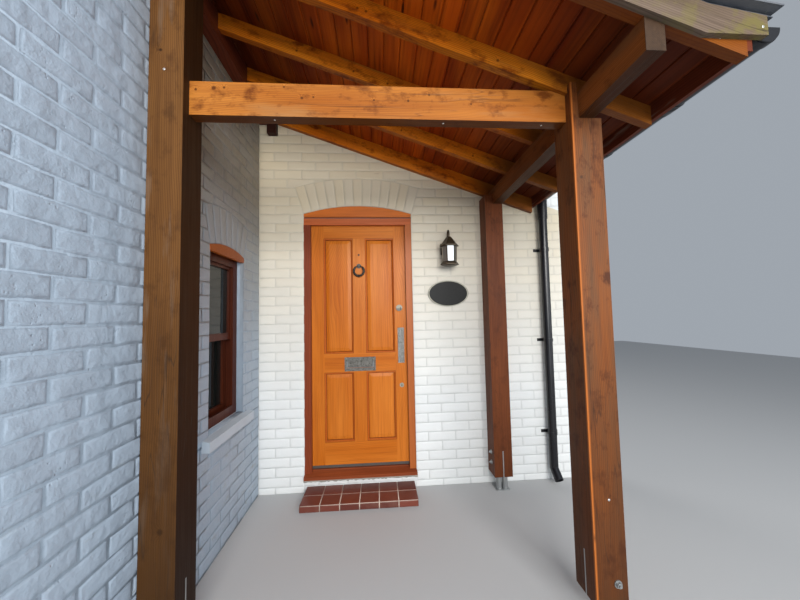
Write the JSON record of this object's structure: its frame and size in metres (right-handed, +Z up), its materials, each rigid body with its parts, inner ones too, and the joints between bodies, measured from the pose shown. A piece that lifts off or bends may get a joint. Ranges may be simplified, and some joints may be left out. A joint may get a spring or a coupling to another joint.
{
  "type": "lean-to entrance porch",
  "caption": "Lean-to timber entrance porch with slated roof, panelled door, sash window and the brick walls it leans on.",
  "frame": {"origin": "on the outer face of the door wall, in the middle of the doorway, at ground level", "axes": "+X to the right along the door wall seen from outside, +Y through the door into the house, +Z up"},
  "size_m": [2.94, 2.212, 3.5141],
  "materials": {
    "painted_brick": "matt masonry paint",
    "post_timber": "stained",
    "rafter_timber": "stained",
    "ceiling_boards": "stained",
    "weathered_board": "weathered paint",
    "frame_timber": "varnished",
    "door_timber": "varnished",
    "slate": "split slate",
    "lead": "weathered lead",
    "rainwater_black": "satin",
    "galvanised_steel": "dull zinc",
    "bright_fittings": "polished",
    "pewter_fittings": "antique pewter",
    "black_iron": "satin black",
    "quarry_tile": "unglazed",
    "sill_stone": "painted stone",
    "clear_glass": "clear"
  },
  "bodies": {
    "porch": {"door_wall_left": "painted_brick", "door_wall_right": "painted_brick", "door_wall_head": "painted_brick", "door_wall_foot": "painted_brick", "door_arch": "painted_brick", "side_wall_front": "painted_brick", "side_wall_back": "painted_brick", "side_wall_head": "painted_brick", "side_wall_foot": "painted_brick", "window_arch": "painted_brick", "front_left_post": "post_timber", "front_right_post": "post_timber", "back_right_post": "post_timber", "post_shoes": "galvanised_steel", "post_bolts": "galvanised_steel", "tie_beam": "rafter_timber", "eaves_beam": "rafter_timber", "wall_ledger": "post_timber", "corner_bearer": "post_timber", "back_rafter": "rafter_timber", "second_rafter": "rafter_timber", "third_rafter": "rafter_timber", "post_rafter": "rafter_timber", "verge_rafter": "rafter_timber", "roof_boards": "ceiling_boards", "roof_slates": "slate", "lead_flashing": "lead", "bargeboard": "weathered_board", "fascia": "frame_timber", "gutter": "rainwater_black", "gutter_brackets": "rainwater_black", "downpipe": "rainwater_black", "pipe_clips": "rainwater_black", "door_step": "quarry_tile", "door_jambs": "frame_timber", "door_head": "frame_timber", "door_sill": "frame_timber", "arch_boards": "frame_timber", "frame_hinges": "bright_fittings", "window_frame": "frame_timber", "upper_sash": "frame_timber", "lower_sash": "frame_timber", "window_glass": "clear_glass", "stone_sill": "sill_stone", "wall_lantern": "black_iron", "lantern_glass": "clear_glass", "house_plaque": "black_iron"},
    "door": {"door_leaf": "door_timber", "door_panels": "door_timber", "leaf_hinges": "bright_fittings", "letter_plate": "pewter_fittings", "finger_plate": "bright_fittings", "door_locks": "bright_fittings", "knocker_mount": "black_iron"},
    "flap": {"letter_flap": "pewter_fittings"},
    "ring": {"knocker_ring": "black_iron"}
  },
  "joints": [
    {"name": "door_hinge", "type": "hinge", "parent": "porch", "child": "door", "pos_m": [-0.40975, 0.105, 1.17], "axis": [0, 0, 1], "range_deg": [0, 90]},
    {"name": "letter_flap_hinge", "type": "hinge", "parent": "door", "child": "flap", "pos_m": [0, 0.0595, 1.0265], "axis": [1, 0, 0], "range_deg": [0, 60]},
    {"name": "knocker_hinge", "type": "hinge", "parent": "door", "child": "ring", "pos_m": [0, 0.041, 1.8285], "axis": [-1, 0, 0], "range_deg": [0, 60]}
  ]
}
